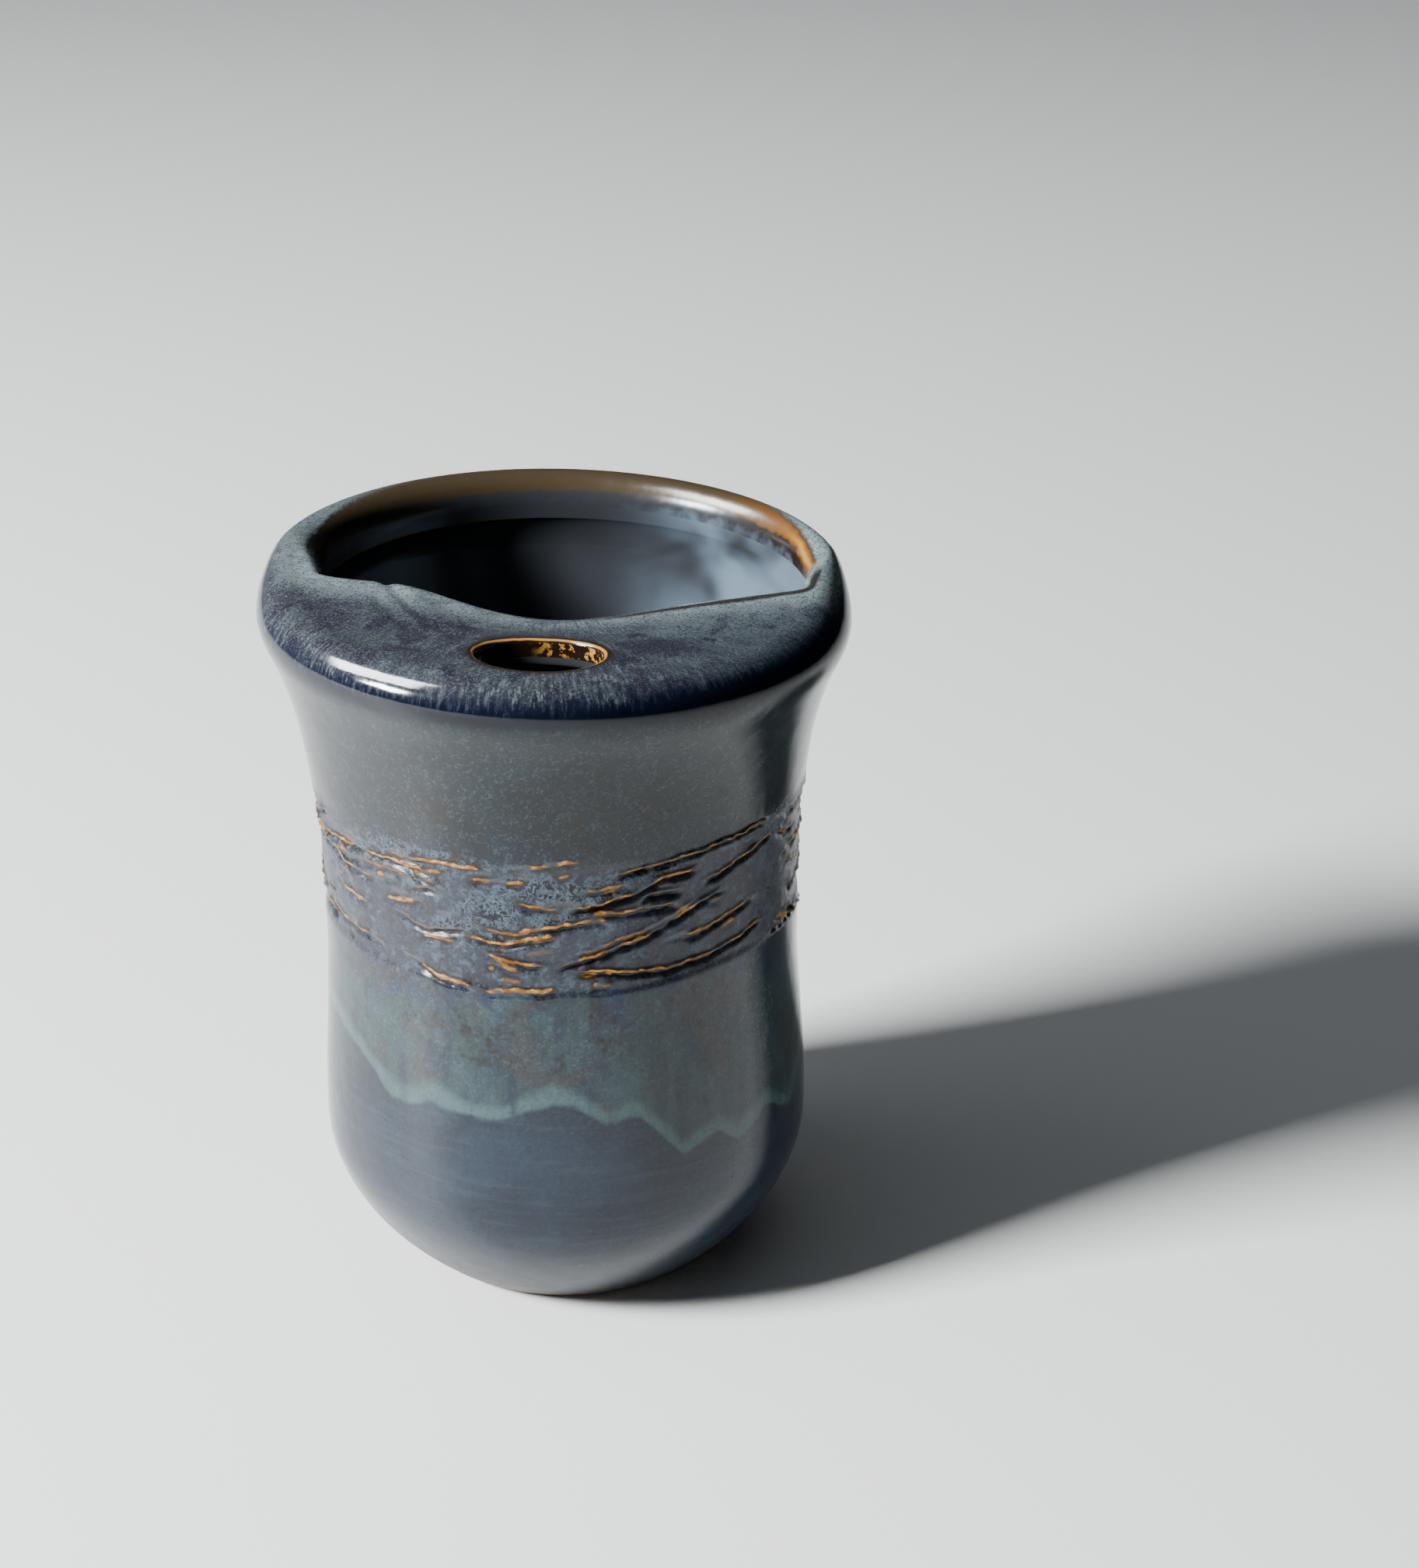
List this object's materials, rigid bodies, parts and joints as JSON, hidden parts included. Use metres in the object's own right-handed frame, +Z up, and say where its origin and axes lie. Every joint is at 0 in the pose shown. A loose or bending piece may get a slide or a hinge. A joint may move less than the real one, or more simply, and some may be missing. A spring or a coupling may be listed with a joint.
{
  "type": "moustache guard espresso cup",
  "caption": "Handleless espresso cup of blue-grey glazed stoneware with a folded-in guard, an oval drinking hole and a torn, scored band round its waist.",
  "frame": {"origin": "centre of the foot ring, on the surface that the cup stands on", "axes": "+Z up along the cup's axis, -Y towards the drinking side with the guard, +X to its right"},
  "size_m": [0.064, 0.064, 0.0839],
  "materials": {
    "glaze": "glossy blue-grey rutile glaze that breaks amber on sharp edges and pools dark blue under the collar"
  },
  "bodies": {
    "root": {"cup": "glaze"}
  },
  "joints": []
}
